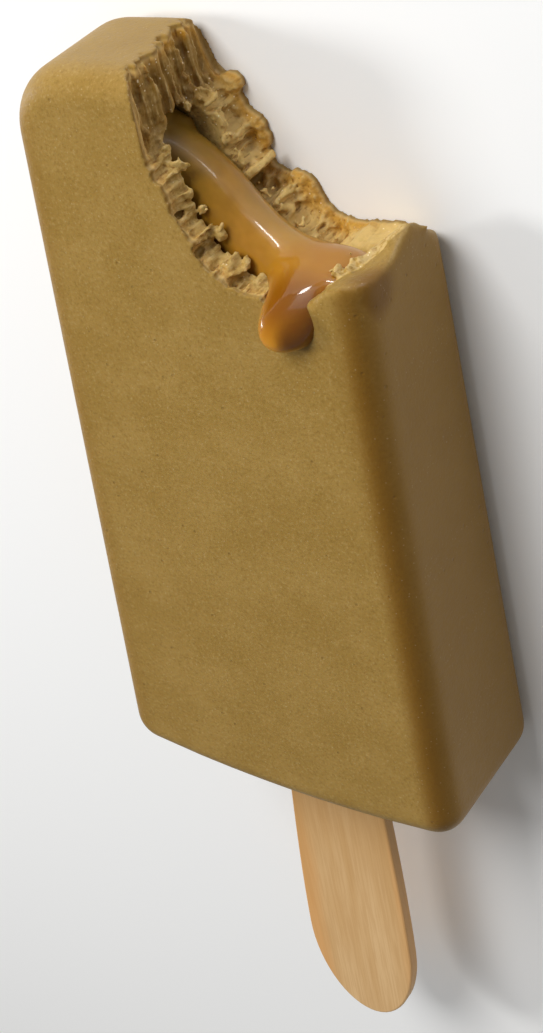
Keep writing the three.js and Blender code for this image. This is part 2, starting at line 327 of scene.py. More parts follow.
def round_corners(blank, end_test, radius):
    """Rounds the two upright corners of the end that passes the test."""
    def corner(a, b):
        upright = abs(a[0] - b[0]) < 0.1 and abs(a[1] - b[1]) < 0.1
        outermost = abs(a[0]) > half_width_at(a[1]) - 0.8
        return upright and outermost and end_test(a[1])
    bpy.ops.mesh.select_mode(type="EDGE")
    select_edges(blank, corner)
    bpy.ops.mesh.bevel(offset=radius * MM, segments=10, profile=0.5)


def rim_curve(name, places, height):
    """A smooth curve through the places at a height, as a mesh of one row of vertices."""
    deselect()
    bpy.ops.curve.primitive_bezier_curve_add(location=(0, 0, 0))
    curve = bpy.context.object
    spline = curve.data.splines[0]
    spline.bezier_points.add(len(places) - 2)
    for point, (x, y) in zip(spline.bezier_points, places):
        point.co = at(x, y, height)
        point.handle_left_type = "AUTO"
        point.handle_right_type = "AUTO"
    curve.data.resolution_u = 14
    bpy.ops.object.convert(target="MESH")
    curve = bpy.context.object
    curve.name = name
    return curve


def bite_sheet(name, rows):
    """The bitten surface, bridged between the two rims and run on past both faces."""
    overrun = 3
    middle_thickness = thickness_at(BITE_MIDDLE)
    run = overrun / middle_thickness
    low = [(b[0] + (b[0] - f[0]) * run, b[1] + (b[1] - f[1]) * run) for b, f in RIM_PAIRS]
    high = [(f[0] + (f[0] - b[0]) * run, f[1] + (f[1] - b[1]) * run) for b, f in RIM_PAIRS]
    back = rim_curve("back rim", low, -overrun)
    front = rim_curve("front rim", high, middle_thickness + overrun)
    sheet = join([back, front], name)
    edit(sheet)
    bpy.ops.mesh.select_all(action="SELECT")
    bpy.ops.mesh.bridge_edge_loops(number_cuts=rows, interpolation="LINEAR")
    bpy.ops.mesh.select_all(action="SELECT")
    bpy.ops.mesh.normals_make_consistent(inside=False)
    leave_edit()
    lean = sum((face.normal.x + face.normal.y for face in sheet.data.polygons), 0)
    if lean < 0:
        edit(sheet)
        bpy.ops.mesh.select_all(action="SELECT")
        bpy.ops.mesh.flip_normals()
        leave_edit()
    return sheet


def close_cutter(sheet):
    """Extrudes the bitten surface away from the bar, so that it takes the bite out."""
    edit(sheet)
    bpy.ops.mesh.select_all(action="SELECT")
    bpy.ops.mesh.extrude_region_move(
        TRANSFORM_OT_translate={"value": (CLEAR_OF_BAR * MM, CLEAR_OF_BAR * MM, 0)}
    )
    bpy.ops.mesh.select_all(action="SELECT")
    bpy.ops.mesh.normals_make_consistent(inside=False)
    leave_edit()
    return sheet


def core_block(name, grow):
    """The core's rounded slab if grow is below 0, and else the hollow that it comes out of."""
    start = CORE_START if grow < 0 else HOLLOW_START
    middle = (start + CORE_END) / 2
    height = thickness_at(middle) / 2 + CORE_RISE
    deselect()
    bpy.ops.mesh.primitive_cube_add(size=1, location=at(0, middle, height))
    bpy.context.object.scale = Vector((
        CORE_WIDTH + 2 * grow, CORE_END - start + 2 * grow, CORE_THICKNESS + 2 * grow,
    )) * MM
    slab = name_new(name)
    edit(slab)
    for end, sign in ((CORE_END, 1), (start, -1)):
        select_vertices(slab, lambda x, y, z: (y - middle) * sign > 0)
        slope = (TIP_THICKNESS - BUTT_THICKNESS) / BAR_LENGTH / 2
        bpy.ops.transform.translate(value=(0, 0, slope * (end - middle) * MM))
    bpy.ops.mesh.select_mode(type="EDGE")
    select_edges(slab, lambda a, b: abs(a[0] - b[0]) < 0.1 and abs(a[1] - b[1]) < 0.1)
    bpy.ops.mesh.bevel(offset=CORE_CORNER_RADIUS * MM, segments=10)
    bpy.ops.mesh.select_all(action="DESELECT")
    bpy.ops.mesh.edges_select_sharp(sharpness=SHARP)
    nearly_half = CORE_THICKNESS / 2 + grow - 0.05
    bpy.ops.mesh.bevel(offset=nearly_half * MM, segments=8)
    bpy.ops.mesh.select_all(action="SELECT")
    bpy.ops.mesh.subdivide(number_cuts=6)
    leave_edit()
    return slab


@functools.cache
def pair_at(x, y, z):
    """The rim pair that a place on the bite lies beside, counted with a fraction."""
    share = z / thickness_at(BITE_MIDDLE)
    line = [Vector(back).lerp(Vector(front), share) for back, front in RIM_PAIRS]
    here = Vector((x, y))
    best = (1e9, 0)
    for i, (a, b) in enumerate(zip(line, line[1:])):
        part = min(max((here - a).dot(b - a) / (b - a).length_squared, 0), 1)
        best = min(best, ((a.lerp(b, part) - here).length_squared, i + part))
    return best[1]


def tip_wall_share(x, y, z):
    """How far a place on the bite belongs to the wall that runs down from the tip."""
    return 1 - smooth(3.1, 4.7, pair_at(x, y, z) - 0.04 * (z - 9))


def side_wall_share(x, y, z):
    """How far a place on the bite belongs to the smoother wall at the bar's side."""
    return smooth(13.2, 15.2, pair_at(x, y, z))


def away_from_rims(x, y, z):
    """Nothing at the melted rims, all of it a few millimetres into the bar's thickness."""
    front = thickness_at(y) - z
    return smooth(0.6, 2.6, z) * smooth(0.2, 1.6, front)


def from_core(z):
    """How far above or below the core's opening a height is."""
    return abs(z - thickness_at(CORE_MOUTH) / 2 - CORE_RISE) - CORE_THICKNESS / 2


def near_core(x, y, z):
    """Most at the edges of the torn core, where flakes stand out."""
    return 1 - smooth(0.3, 2.6, abs(from_core(z)))


def hollow_between(ridges, place):
    """Nothing at a ridge and one midway between two, with sharp ridges."""
    for low, high in zip(ridges, ridges[1:]):
        if low <= place < high:
            across = (place - low) / (high - low)
            return 1 - abs(2 * across - 1) ** 2.2
    return 0


def tip_grooves(x, y, z):
    rim = smooth(-0.2, 1.8, thickness_at(y) - z) * smooth(-1, 2.4, z)
    return tip_wall_share(x, y, z) * hollow_between(TIP_WALL_RIDGES, z) * rim


def torn_share(x, y, z):
    """Less at the side wall and in the smooth scoop along the tip wall's front rim."""
    scooped = tip_wall_share(x, y, z) * smooth(12.4, 13.8, z)
    calm = (1 - 0.6 * side_wall_share(x, y, z)) * (1 - 0.6 * tip_wall_share(x, y, z))
    return away_from_rims(x, y, z) * calm * (1 - 0.6 * scooped)


def tooth_marks(x, y, z):
    ridges = BACK_RIDGES if z < thickness_at(y) / 2 else FRONT_RIDGES
    scoop = hollow_between(ridges, pair_at(x, y, z)) * (0.6 if z > 9 else 1)
    tooth_share = (1 - tip_wall_share(x, y, z)) * (1 - 0.8 * side_wall_share(x, y, z))
    return scoop * tooth_share * away_from_rims(x, y, z)


def dent_share(sign, x, y, z):
    pair = pair_at(x, y, z)
    total = 0
    for at_pair, height, pairs, reach, depth in BITE_DENTS:
        off = ((pair - at_pair) / pairs) ** 2 + ((z - height) / reach) ** 2
        if off < 6 and depth * sign > 0:
            total += abs(depth) * math.exp(-1.2 * off)
    return min(total / 3, 1)


def fluted_share(x, y, z):
    return (1 - tip_wall_share(x, y, z)) * (1 - side_wall_share(x, y, z))


def press(piece, group, depth):
    """Moves a piece's vertices along their normals by so many mm times their weight."""
    use_modifier(
        piece, "DISPLACE", strength=depth * MM, mid_level=0, vertex_group=group, direction="NORMAL",
    )


def bitten_surface():
    """The bite's torn surface: tooth marks, grooves dragged down from the tip, flutes and crags."""
    sheet = bite_sheet("bite", 110)
    weigh(sheet, "tip grooves", tip_grooves)
    weigh(sheet, "tooth marks", tooth_marks)
    weigh(sheet, "hollows", functools.partial(dent_share, -1))
    weigh(sheet, "bulges", functools.partial(dent_share, 1))
    weigh(sheet, "side wall", side_wall_share)
    weigh(sheet, "fluted", lambda *p: fluted_share(*p) * (0.3 + 0.7 * away_from_rims(*p)))
    weigh(sheet, "tip wall", lambda *p: tip_wall_share(*p) * (0.3 + 0.7 * away_from_rims(*p)))
    weigh(sheet, "torn", torn_share)
    weigh(sheet, "core edge", lambda *p: near_core(*p) * (1 - 0.8 * side_wall_share(*p)))
    press(sheet, "tip wall", 0.4)
    press(sheet, "tip grooves", -1.2)
    press(sheet, "tooth marks", -1)
    press(sheet, "hollows", -3)
    press(sheet, "bulges", 3)
    relief(sheet, cloudy("crags"), (1.8, 1.8, 3), 0.55, "torn")
    relief(sheet, hollow_cells("flutes"), (2, 2, 18), 1.7, "fluted", 0.3)
    relief(sheet, hollow_cells("narrow flutes"), (0.75, 0.75, 11), 1.7, "fluted", 0.3)
    relief(sheet, hollow_cells("drag marks"), (1.7, 15, 1.5), 1.5, "tip wall", 0.3)
    relief(sheet, hollow_cells("fine drag marks"), (0.8, 9, 0.7), 1.3, "tip wall", 0.3)
    relief(sheet, hollow_cells("torn scallops"), (0.9, 0.9, 3.4), 0.8, "core edge", 0.35)
    relief(sheet, cloudy("melted wall"), (5, 5, 5), 1.2, "side wall")
    relief(sheet, hollow_cells("pitted wall"), (0.9, 0.9, 0.9), 0.35, "side wall", 0.3)
    return sheet


# Scraps of torn ice cream: where each grows, where it points, how long it is, how many flakes.
SCRAPS = [
    ((-2.9, 91.9, 15.2), (1, 0.1, -0.55), 2.3, 7), ((-2.6, 93.6, 15.3), (0.9, 0.3, -0.6), 1.1, 4),
    ((-1.1, 88.4, 15.1), (0.9, 0.5, -0.8), 1.2, 5), ((0.3, 86.6, 15.1), (0.8, 0.5, -0.8), 1.1, 4),
    ((2.2, 83.9, 15), (0.6, 0.5, -1), 1.2, 5), ((5.6, 80.7, 14.9), (0.3, 0.8, -1), 0.8, 4),
    ((-2.6, 95.4, 5.1), (0.5, -0.2, 1), 1.7, 6), ((-2.1, 92.8, 5.3), (0.5, 0.1, 1), 1.3, 5),
    ((-1.2, 90.8, 5.4), (0.4, 0.2, 1), 1.3, 5), ((-0.2, 88.8, 5.5), (0.3, 0.3, 1), 0.9, 3),
    ((2.8, 84.4, 5.5), (0.3, 0.3, 1), 0.9, 3), ((4.8, 82.6, 5.6), (0.2, 0.4, 1), 1.2, 5),
    ((7, 80.7, 5.7), (0, 0.5, 1), 0.9, 4), ((-4.2, 96.9, 12.9), (0.3, -1, 0), 1, 4),
    ((-4.2, 96.8, 8.6), (0.3, -1, 0), 1.1, 4),
]

# The crumbly ridge on the side wall, from the caramel to the bar's side.
RIDGE_START = Vector((17.6, 80.9, 14.2))
RIDGE_END = Vector((22.9, 82.3, 6.4))


def torn_scraps():
    """Rough flakes of torn ice cream that hang from the edges of the core's opening."""
    chance = random.Random(44)
    flakes = []
    for root, lean, length, count in SCRAPS:
        for _ in range(count):
            way = Vector(lean).normalized() + Vector([chance.gauss(0, 0.4) for _ in range(3)])
            reach = length * chance.uniform(0.5, 1)
            spot = Vector(root) + Vector([chance.gauss(0, 0.28 * length) for _ in range(3)])
            spot += way.normalized() * reach * 0.3
            deselect()
            bpy.ops.mesh.primitive_ico_sphere_add(
                subdivisions=4, radius=1, location=at(*spot),
                rotation=way.to_track_quat("Z", "Y").to_euler(),
            )
            across = chance.uniform(0.28, 0.45) * reach
            bpy.context.object.scale = Vector((across, 0.26, 0.65 * reach)) * MM
            flakes.append(name_new("flake"))
    scraps = join(flakes, "scraps")
    relief(scraps, cloudy("ragged", 3), (0.8, 0.8, 0.8), 0.4)
    relief(scraps, hollow_cells("jagged"), (0.5, 0.5, 0.5), 0.25, middle=0.3)
    return scraps


def blade():
    """The thin pale blade between two tooth marks of the back wall."""
    deselect()
    bpy.ops.mesh.primitive_cube_add(size=1, location=at(0.9, 86.4, 4.4))
    bpy.context.object.scale = Vector((3.4, 0.9, 5)) * MM
    bpy.context.object.rotation_euler = (0, math.radians(-6), math.radians(38))
    thin = name_new("blade")
    edit(thin)
    bpy.ops.mesh.select_all(action="SELECT")
    bpy.ops.mesh.subdivide(number_cuts=12)
    leave_edit()
    relief(thin, cloudy("blade grain"), (1.2, 1.2, 1.2), 0.9)
    return thin


def crumbs():
    """Small loose crumbs along the core's opening and on the ridge of the side wall."""
    chance = random.Random(7)
    places = []
    for root, lean, length, _ in SCRAPS:
        for _ in range(4):
            away = Vector([chance.gauss(0, 0.6) for _ in range(3)])
            places.append((Vector(root) + Vector(lean) * 0.2 + away, chance.uniform(0.14, 0.3)))
    for _ in range(110):
        ridge = RIDGE_START.lerp(RIDGE_END, chance.uniform(-0.05, 1.05))
        away = Vector((chance.gauss(0, 0.8), chance.gauss(-0.1, 0.25), chance.gauss(0, 0.9)))
        places.append((ridge + away, chance.uniform(0.2, 0.5)))
    grown = []
    for place, radius in places:
        deselect()
        bpy.ops.mesh.primitive_ico_sphere_add(
            subdivisions=1, radius=radius * MM, location=at(*place),
            rotation=(chance.uniform(0, 3), chance.uniform(0, 3), 0),
        )
        grown.append(name_new("crumb"))
    return grown


def bitten_bar():
    bar = bar_blank()
    cut_away(bar, close_cutter(bitten_surface()))
    core = core_block("core", 0)
    relief(core, cloudy("torn core"), (2, 2, 2), 0.9)
    cut_away(bar, core)
    return join([bar, torn_scraps(), blade(), *crumbs()], "bar")


def depth_in_bar(x, y, z):
    """How many millimetres a place lies below the bar's own moulded skin."""
    half = (half_width_at(y), (BAR_LENGTH + BUTT_CROWN) / 2, thickness_at(y) / 2)
    middle = (0, (BAR_LENGTH - BUTT_CROWN) / 2, thickness_at(y) / 2)
    if y > BAR_LENGTH / 2:
        crown = TIP_CROWN * (x / (TIP_WIDTH / 2)) ** 2
    else:
        crown = -BUTT_CROWN * (x / (BUTT_WIDTH / 2)) ** 2
    off = [
        abs(value - centre) - (size - EDGE_RADIUS)
        for value, centre, size in zip((x, y + crown, z), middle, half)
    ]
    outside = math.sqrt(sum(max(value, 0) ** 2 for value in off))
    return EDGE_RADIUS - outside - min(max(off), 0)


def beside_bite(x, y, z):
    """Whether a place is on the bite or close to its rims."""
    return x > -9.5 and y > 75 and y + 1.15 * x > 84


def melted_shoulder(x, y, z):
    """The bar's corner beside the bite, which has melted round."""
    side = smooth(18, 21, x) * smooth(74, 78, y)
    front = smooth(12.5, 16, x) * smooth(10, 14, z) * smooth(74, 78, y)
    return max(side, front) * (1 - ridge_band(x, y, z))


def ridge_band(x, y, z):
    """The crumbly ridge on the side wall."""
    if x < 13 or y < 78.5:
        return 0
    along = (x - RIDGE_START.x) / (RIDGE_END.x - RIDGE_START.x)
    line = RIDGE_START.z + (RIDGE_END.z - RIDGE_START.z) * along
    across = 1 - smooth(1.2, 2.6, abs(z - line))
    return across * smooth(14.5, 16.5, x) * (1 - smooth(22.8, 24, x))


def edge_shade(x, y, z):
    """Painted shade, most along the long rounded edges of the shown face, strongest on the right,
    and at the shoulder beside the bite.
    """
    from_side = half_width_at(y) - abs(x)
    from_front = thickness_at(y) - z
    side = 1 if x > 0 else 0.35
    edge = side * (1 - smooth(2.2, 5.4, from_side + 1.8 * from_front)) * smooth(-1.5, 2, y)
    corner = Vector((x, y, z)) - Vector((23.4, 80.6, 16))
    shoulder = (1 - smooth(1.5, 4.6, corner.length)) * (1 - ridge_band(x, y, z))
    return max(edge * (1 - smooth(98, 101.5, y)), 0.9 * shoulder if x > 0 else 0)


def stands_out(piece, rounds):
    """How far each vertex stands out of a smoothed copy of the piece, in millimetres."""
    smoothed = duplicate(piece, "smoothed")
    use_modifier(smoothed, "SMOOTH", factor=0.5, iterations=rounds)
    proud = [
        (vertex.co - calm.co).dot(calm.normal) / MM
        for vertex, calm in zip(piece.data.vertices, smoothed.data.vertices)
    ]
    remove(smoothed)
    return proud


def keep_attribute(piece, name, values):
    made = piece.data.attributes.new(name, "FLOAT", "POINT")
    made.data.foreach_set("value", values)


def refine_bar(bar):
    """Rounds the bar's rims by a fine remesh, then thins the mesh of its plain faces."""
    use_modifier(bar, "REMESH", mode="VOXEL", voxel_size=BAR_CELL * MM)
    weigh(bar, "plain", lambda *p: 0 if beside_bite(*p) else 1)
    weigh(bar, "shoulder", melted_shoulder)
    weigh(bar, "torn bite", lambda *p: beside_bite(*p) and smooth(0.9, 2.2, depth_in_bar(*p)))
    use_modifier(bar, "SMOOTH", factor=0.5, iterations=16, vertex_group="plain")
    use_modifier(bar, "SMOOTH", factor=0.5, iterations=140, vertex_group="shoulder")
    use_modifier(bar, "SMOOTH", factor=0.35, iterations=1)
    relief(bar, cloudy("crumb", 3), (0.6, 0.6, 0.6), 0.26, "torn bite")
    use_modifier(bar, "DECIMATE", ratio=0.2, vertex_group="plain", vertex_group_factor=1)
    places = [bar_place(vertex.co) for vertex in bar.data.vertices]
    keep_attribute(bar, "depth", [
        depth_in_bar(*place) * (1 - melted_shoulder(*place)) if beside_bite(*place) else 0.0
        for place in places
    ])
    keep_attribute(bar, "crumbly", [ridge_band(*place) for place in places])
    # Painted shade along the rounded edges and at the shoulder.
    keep_attribute(bar, "edge shade", [edge_shade(*place) for place in places])
    keep_attribute(bar, "melted lip", [1 - smooth(12.5, 16.5, place[0]) for place in places])
    # How far each vertex belongs to the tip wall, for its painted shade and the turn of the tear
    # lines.
    keep_attribute(bar, "sheltered", [
        tip_wall_share(*place) if beside_bite(*place) else 0.0 for place in places
    ])
    proud = stands_out(bar, 14)
    keep_attribute(bar, "ridge", [
        value if beside_bite(*place) else 0.0 for value, place in zip(proud, places)
    ])
    smooth_shading(bar)
    return bar


# The caramel.

# The stream, as places with its radius there.
STREAM = [
    ((-13, 90, 9.8), 4.2), ((-8.5, 90.6, 10), 4), ((-5, 89.4, 10.1), 4),
    ((-2.6, 87.6, 10.2), 4.05), ((-0.3, 85.2, 10.2), 4.1), ((2.4, 82.1, 10.3), 4.15),
    ((5.7, 79.2, 10.4), 4.2), ((10.2, 77.3, 10.6), 4.35), ((15.2, 77.2, 10.7), 4.35),
    ((17.6, 77.9, 10.9), 3.4),
]

# The drip, as places with its half width and its half thickness there.
DRIP = [
    ((11.2, 77.2, 8.6), 4.4, 3.2), ((12.2, 77.7, 12.2), 4.9, 3.6), ((12.9, 77.7, 15), 4.7, 3.6),
    ((13.3, 77.2, 17.1), 4.3, 3.5), ((13.1, 76.5, 18.9), 3.8, 3.3), ((12.9, 76.3, 20.2), 3, 2.8),
    ((12.7, 76.1, 20.8), 2.5, 2.25),
]

# Round lumps, as places with their radius, that fill the corner between the two.
WEB = [
    ((8.6, 78.3, 12), 3.3), ((10.6, 77.9, 13), 3.4), ((14.4, 77.6, 12.8), 3.7),
    ((17, 77.9, 12.4), 3.4), ((16.6, 78.6, 14.8), 2.7), ((12.4, 77.8, 13), 3.7),
]


def between(stations, steps):
    """Evenly many stations between the given ones, on a smooth run through them."""
    for i in range(len(stations) - 1):
        before, a, b, after = (
            stations[min(max(i + k, 0), len(stations) - 1)] for k in (-1, 0, 1, 2)
        )
        for step in range(steps):
            t = step / steps
            yield [
                0.5 * ((2 * q) + (r - p) * t + (2 * p - 5 * q + 4 * r - s) * t * t
                       + (3 * q - p - 3 * r + s) * t ** 3)
                for p, q, r, s in zip(before, a, b, after)
            ]
    yield stations[-1]


def blob(x, y, z, across, through):
    deselect()
    bpy.ops.mesh.primitive_uv_sphere_add(segments=32, ring_count=16, radius=1, location=at(x, y, z))
    bpy.context.object.scale = Vector((across, through, through)) * MM
    return name_new("blob")


def web_share(x, y, z):
    """Where the drip leaves the stream, which surface tension draws into one smooth web."""
    return smooth(1, 5, x) * smooth(74, 76, y) * (1 - 0.7 * smooth(19, 23, z))


def caramel_filling():
    """The core, cut off a little behind the bite, with the stream and the drip that leave it."""
    slab = core_block("slab", -GAP)
    behind = 2.2
    sheet = bite_sheet("skin", 2)
    take(sheet)
    bpy.ops.transform.translate(value=(-behind * MM, -behind * MM, 0))
    bpy.ops.object.transform_apply(location=True)
    close_cutter(sheet)
    cut_away(slab, sheet)
    blobs = [blob(x, y, z, r, r) for x, y, z, r in between([(*p, r) for p, r in STREAM], 6)]
    blobs += [blob(*station) for station in between([(*p, a, b) for p, a, b in DRIP], 6)]
    blobs += [blob(*place, radius, radius) for place, radius in WEB]
    filling = join([slab, *blobs], "caramel")
    use_modifier(filling, "REMESH", mode="VOXEL", voxel_size=CARAMEL_CELL * MM)
    weigh(filling, "web", web_share)
    use_modifier(filling, "SMOOTH", factor=0.5, iterations=110, vertex_group="web")
    use_modifier(filling, "SMOOTH", factor=0.5, iterations=26)
    smooth_shading(filling)
    return filling


# Materials.


def socket(tree, kind, name, out=False, value=None):
    made = tree.interface.new_socket(
        name=name, in_out="OUTPUT" if out else "INPUT", socket_type=f"NodeSocket{kind}"
    )
    if value is not None:
        made.default_value = value


def put(tree, kind, **settings):
    """A node, with its properties and its inputs given by name or number."""
    node = tree.nodes.new(f"ShaderNode{kind}")
    inputs = settings.pop("inputs", {})
    for key, value in settings.items():
        setattr(node, key, value)
    for key, value in inputs.items():
        if isinstance(value, bpy.types.NodeSocket):
            tree.links.new(value, node.inputs[key])
        else:
            node.inputs[key].default_value = value
    return node


def number(tree, operation, a, b=0.5):
    return put(tree, "Math", operation=operation, inputs={0: a, 1: b}).outputs[0]


def times(tree, a, b):
    return number(tree, "MULTIPLY", a, b)


def stirred(tree, value, noise, amount):
    """A value that a noise moves up and down by half the amount."""
    return number(tree, "ADD", value, times(tree, number(tree, "SUBTRACT", noise, 0.5), amount))


def blend_colours(tree, share, a, b):
    return put(
        tree, "Mix", data_type="RGBA", blend_type="MIX", clamp_factor=True,
        inputs={0: share, 6: a, 7: b},
    ).outputs[2]


def steps(tree, value, low, high, out_low=0.0, out_high=1.0):
    return put(
        tree, "MapRange", interpolation_type="SMOOTHSTEP", clamp=True,
        inputs={0: value, 1: low, 2: high, 3: out_low, 4: out_high},
    ).outputs[0]


def speckle(tree, place, size, detail, roughness, stretch=None):
    """A noise whose grain is so many millimetres across."""
    if stretch:
        place = put(tree, "Mapping", inputs={0: place, 3: stretch}).outputs[0]
    return put(tree, "TexNoise", inputs={
        "Vector": place, "Scale": 1 / (size * MM), "Detail": detail, "Roughness": roughness,
    }).outputs["Fac"]


def facing(tree, normal, way):
    """How far the surface faces a way, from -1 to 1."""
    return put(
        tree, "VectorMath", operation="DOT_PRODUCT", inputs={0: normal, 1: way}
    ).outputs["Value"]


def new_material(name, **values):
    """A material whose shader has the given values on its sockets."""
    material = bpy.data.materials.new(name)
    material.use_nodes = True
    shader = material.node_tree.nodes["Principled BSDF"]
    for key, value in values.items():
        shader.inputs[key.replace("_", " ")].default_value = value
    return material, material.node_tree, shader


def frozen_grain_group():
    """Frost, pits and mottling of a frozen dairy mix, for the moulded skin and the torn inside."""
    tree = bpy.data.node_groups.new("frozen grain", "ShaderNodeTree")
    socket(tree, "Vector", "Place")
    socket(tree, "Float", "Grain Size", value=1.0)
    outputs = ("Mottle", "Fine Grain", "Ice Crystals", "Pits", "Height")
    for name in outputs:
        socket(tree, "Float", name, out=True)
    given = tree.nodes.new("NodeGroupInput")
    result = tree.nodes.new("NodeGroupOutput")
    scaled = put(tree, "VectorMath", operation="SCALE")
    tree.links.new(given.outputs["Place"], scaled.inputs[0])
    tree.links.new(given.outputs["Grain Size"], scaled.inputs["Scale"])
    place = scaled.outputs[0]
    mottle = speckle(tree, place, 8, 4, 0.62)
    grain = speckle(tree, place, 0.45, 3, 0.65)
    coarse = speckle(tree, place, 1.5, 3, 0.6)
    crystals = chosen_cells(tree, place, 0.55, 0.8, 0.24)
    pits = chosen_cells(tree, place, 1.7, 0.84, 0.17)
    height = number(tree, "ADD", times(tree, coarse, 0.55), times(tree, grain, 0.45))
    height = number(tree, "SUBTRACT", height, times(tree, pits, 0.5))
    for name, value in zip(outputs, (mottle, grain, crystals, pits, height)):
        tree.links.new(value, result.inputs[name])
    return tree


def chosen_cells(tree, place, size, rarity, radius):
    """Round specks in some of the cells that are so many millimetres across."""
    cells = put(
        tree, "TexVoronoi", feature="F1", inputs={"Vector": place, "Scale": 1 / (size * MM)},
    )
    chance = put(tree, "SeparateColor", inputs={0: cells.outputs["Color"]}).outputs[0]
    chosen = number(tree, "GREATER_THAN", chance, rarity)
    near = steps(tree, cells.outputs["Distance"], radius * 0.4, radius, 1.0, 0.0)
    return times(tree, chosen, near)


def place_group(tree, group, **values):
    node = tree.nodes.new("ShaderNodeGroup")
    node.node_tree = group
    for key, value in values.items():
        name = key.replace("_", " ")
        if isinstance(value, bpy.types.NodeSocket):
            tree.links.new(value, node.inputs[name])
        else:
            node.inputs[name].default_value = value
    return node.outputs


def kept(tree, name):
    """A value that the mesh keeps for each vertex."""
    return put(tree, "Attribute", attribute_name=name, attribute_type="GEOMETRY").outputs["Fac"]


FROZEN_GRAIN = frozen_grain_group()

SKIN_RICH = (0.285, 0.17, 0.036, 1)
SKIN_PALE = (0.325, 0.2, 0.05, 1)
SKIN_FROST = (0.42, 0.285, 0.105, 1)
SKIN_SPECK = (0.19, 0.105, 0.018, 1)
SKIN_PIT = (0.13, 0.065, 0.01, 1)
# Painted shade for the side faces.
FLANK_SHADE_BROWN = (0.28, 0.14, 0.018, 1)
# Painted shade for the rounded edges and the shoulder beside the bite.
EDGE_SHADE_BROWN = (0.165, 0.07, 0.002, 1)
# Painted light for the lips: an orange glow of light through the thin back rim, and a paler lit
# front rim.
LIP_BACK_GLOW = (0.54, 0.29, 0.04, 1)
LIP_FRONT_LIT = (0.5, 0.31, 0.09, 1)
LIP_SPECK = (0.33, 0.14, 0.012, 1)
# Painted highlight at the very edge of the lips.
LIP_EDGE_HIGHLIGHT = (0.66, 0.44, 0.16, 1)
FLESH_DENT = (0.36, 0.215, 0.045, 1)
FLESH_LUMP = (0.52, 0.35, 0.115, 1)
# A painted pool of light on the back wall.
FLESH_BACK_LIGHT = (0.72, 0.5, 0.18, 1)
# Painted shade on the tip wall.
FLESH_TIP_WALL_SHADE = (0.22, 0.105, 0.006, 1)
# Painted shade in the hollows, also marking the tear lines.
TORN_GROOVE_SHADE = (0.22, 0.085, 0.004, 1)
# Painted highlight on the ridges, also marking the tear lines.
TORN_RIDGE_HIGHLIGHT = (0.58, 0.42, 0.18, 1)
CRUMB_PALE = (0.52, 0.37, 0.155, 1)
# Pale ice crystals, partly painted glints.
ICE_GLINT_PALE = (0.85, 0.74, 0.5, 1)


def flank_shade(tree):
    """The bar's two long side faces, which painted shade makes a little browner than its front."""
    normal = tree.nodes.new("ShaderNodeTexCoord").outputs["Normal"]
    across = put(tree, "SeparateXYZ", inputs={0: normal}).outputs[0]
    return steps(tree, number(tree, "ABSOLUTE", across), 0.7, 0.95, 0, 0.6)


def moulded_skin(tree, grain):
    """The smooth frosty outside, with painted shade: browner on the flanks and darkest along the
    rounded edges.
    """
    fine = grain["Fine Grain"]
    colour = blend_colours(tree, steps(tree, grain["Mottle"], 0.3, 0.7), SKIN_RICH, SKIN_PALE)
    colour = blend_colours(tree, steps(tree, fine, 0.52, 0.7, 0, 0.4), colour, SKIN_FROST)
    colour = blend_colours(tree, steps(tree, fine, 0.48, 0.32, 0, 0.4), colour, SKIN_SPECK)
    # Painted shade on the side faces.
    colour = blend_colours(tree, flank_shade(tree), colour, FLANK_SHADE_BROWN)
    colour = blend_colours(tree, times(tree, grain["Pits"], 0.3), colour, SKIN_PIT)
    # Painted shade along the rounded edges and at the shoulder beside the bite.
    edge = times(tree, kept(tree, "edge shade"), 0.9)
    return blend_colours(tree, edge, colour, EDGE_SHADE_BROWN)


def tear_lines(tree, place):
    """Fine lines of the tear, through the bar's thickness but along the bar on the tip's wall."""
    through = speckle(tree, place, 0.42, 2, 0.5, stretch=(1, 1, 0.07))
    along = speckle(tree, place, 0.42, 2, 0.5, stretch=(1, 0.07, 1))
    turn = times(tree, kept(tree, "sheltered"), number(tree, "SUBTRACT", along, through))
    lines = number(tree, "SUBTRACT", number(tree, "ADD", through, turn), 0.5)
    return number(tree, "ADD", times(tree, lines, kept(tree, "melted lip")), 0.5)


